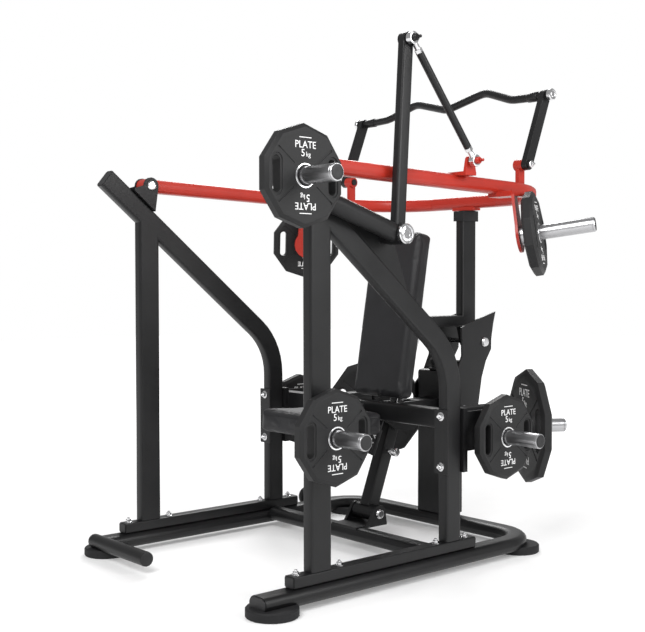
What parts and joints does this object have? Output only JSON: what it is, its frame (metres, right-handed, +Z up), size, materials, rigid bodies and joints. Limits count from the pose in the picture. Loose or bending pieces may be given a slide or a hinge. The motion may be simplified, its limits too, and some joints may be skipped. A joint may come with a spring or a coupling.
{
  "type": "chest press machine",
  "caption": "Plate-loaded lever chest press with a bolted tube frame, seat and backrest, a hinged U-shaped press arm, a cambered handle bar and a linked counter crank.",
  "frame": {"origin": "on the floor, under the middle of the whole machine's outline seen from above", "axes": "+Z up, +Y towards the rear of the machine, behind the backrest, +X towards the left hand of a seated user"},
  "size_m": [1.5828, 1.59, 1.7462],
  "materials": {
    "black_paint": "satin black powder coat",
    "red_paint": "gloss red powder coat",
    "chrome": "bright chrome plate",
    "steel_sleeve": "turned steel",
    "rubber": "matte moulded rubber",
    "plate_rubber": "fine-grained moulded rubber over an iron core",
    "vinyl": "smooth charcoal upholstery vinyl"
  },
  "bodies": {
    "root": {"base_frame": "black_paint", "front_foot_bar": "black_paint", "base_cross_tube": "black_paint", "foot_front_left": "rubber", "foot_front_right": "rubber", "foot_rear_left": "rubber", "foot_rear_right": "rubber", "side_beam_left": "black_paint", "side_beam_right": "black_paint", "front_post_left": "black_paint", "front_post_right": "black_paint", "slanted_post_left": "black_paint", "slanted_post_right": "black_paint", "arm_pin_left": "chrome", "arm_pin_right": "chrome", "cross_beam": "black_paint", "clamp_plate_left": "black_paint", "clamp_plate_right": "black_paint", "spine_bracket": "black_paint", "rear_column": "black_paint", "rear_gussets": "black_paint", "backrest_pin": "chrome", "column_bumper": "rubber", "seat_pad": "vinyl", "seat_bracket": "black_paint", "storage_arm_left": "black_paint", "storage_arm_right": "black_paint", "large_horn_left": "steel_sleeve", "large_horn_right": "steel_sleeve", "small_horn_left": "steel_sleeve", "small_horn_right": "steel_sleeve", "front_horn": "steel_sleeve", "crank_bracket": "black_paint", "crank_pin": "chrome", "strut_pin": "chrome"},
    "press_arm": {"arm_tube_left": "red_paint", "arm_tube_right": "red_paint", "arm_cross_tube": "red_paint", "arm_horn_left": "steel_sleeve", "arm_horn_right": "steel_sleeve"},
    "crank": {"crank": "black_paint", "crank_horn": "steel_sleeve"},
    "link_rod": {"link_rod": "black_paint"},
    "handle": {"bar_link_left": "black_paint", "bar_link_right": "black_paint", "handle_bar": "black_paint"},
    "backrest": {"back_pad": "vinyl", "backrest_frame": "black_paint", "post_cap": "rubber"},
    "strut": {"strut_outer": "black_paint"},
    "strut_rod": {"strut_inner": "chrome"},
    "adjuster": {"adjuster_pin": "chrome"},
    "plate_front_store": {"plate_front_store": "plate_rubber"},
    "plate_crank": {"plate_crank": "plate_rubber"},
    "plate_store_left": {"plate_store_left": "plate_rubber"},
    "plate_store_right": {"plate_store_right": "plate_rubber"},
    "plate_large_left": {"plate_large_left": "plate_rubber"},
    "plate_large_right": {"plate_large_right": "plate_rubber"},
    "plate_arm_left": {"plate_arm_left": "plate_rubber"},
    "plate_arm_right": {"plate_arm_right": "plate_rubber"}
  },
  "joints": [
    {"name": "press_arm_lift", "type": "hinge", "parent": "root", "child": "press_arm", "pos_m": [0, -0.47705, 1.317], "axis": [1, 0, 0], "range_deg": [0, 25]},
    {"name": "crank_turn", "type": "hinge", "parent": "root", "child": "crank", "pos_m": [0.53, -0.19405, 1.117], "axis": [1, 0, 0], "range_deg": [0, 24.5]},
    {"name": "rod_turn", "type": "hinge", "parent": "crank", "child": "link_rod", "pos_m": [0.557, -0.15705, 1.724], "axis": [1, 0, 0], "range_deg": [0, 19]},
    {"name": "handle_swing", "type": "hinge", "parent": "press_arm", "child": "handle", "pos_m": [0, 0.50295, 1.385], "axis": [1, 0, 0], "range_deg": [0, 50]},
    {"name": "backrest_tilt", "type": "hinge", "parent": "root", "child": "backrest", "pos_m": [0, 0.72795, 0.73], "axis": [1, 0, 0], "range_deg": [-7, 0]},
    {"name": "strut_swing", "type": "hinge", "parent": "root", "child": "strut", "pos_m": [0, 0.17495, 0.115], "axis": [1, 0, 0], "range_deg": [0, 1]},
    {"name": "strut_extend", "type": "slide", "parent": "strut", "child": "strut_rod", "axis": [0, 0.357, 0.9341], "range_m": [0, 0.04]},
    {"name": "adjuster_pull", "type": "slide", "parent": "strut", "child": "adjuster", "axis": [1, 0, 0], "range_m": [0, 0.012], "stiffness_N_per_m": 800},
    {"name": "plate_front_store_slide", "type": "slide", "parent": "root", "child": "plate_front_store", "axis": [1, 0, 0], "range_m": [0, 0.165]},
    {"name": "plate_crank_slide", "type": "slide", "parent": "crank", "child": "plate_crank", "axis": [1, 0, 0], "range_m": [0, 0.175]},
    {"name": "plate_store_left_slide", "type": "slide", "parent": "root", "child": "plate_store_left", "axis": [1, 0, 0], "range_m": [0, 0.178]},
    {"name": "plate_store_right_slide", "type": "slide", "parent": "root", "child": "plate_store_right", "axis": [-1, 0, 0], "range_m": [0, 0.178]},
    {"name": "plate_large_left_slide", "type": "slide", "parent": "root", "child": "plate_large_left", "axis": [0.5299, 0.848, 0], "range_m": [0, 0.16]},
    {"name": "plate_large_right_slide", "type": "slide", "parent": "root", "child": "plate_large_right", "axis": [-0.5299, 0.848, 0], "range_m": [0, 0.16]},
    {"name": "plate_arm_left_slide", "type": "slide", "parent": "press_arm", "child": "plate_arm_left", "axis": [0.8576, 0.4951, 0.1392], "range_m": [0, 0.228]},
    {"name": "plate_arm_right_slide", "type": "slide", "parent": "press_arm", "child": "plate_arm_right", "axis": [-0.8576, 0.4951, 0.1392], "range_m": [0, 0.228]}
  ],
  "couplings": [
    {"joint": "crank_turn", "follows": "press_arm_lift", "ratio": 0.97},
    {"joint": "rod_turn", "follows": "press_arm_lift", "ratio": 0.75},
    {"joint": "strut_swing", "follows": "backrest_tilt", "ratio": -0.087},
    {"joint": "strut_extend", "follows": "backrest_tilt", "m_per_rad": -0.32}
  ]
}
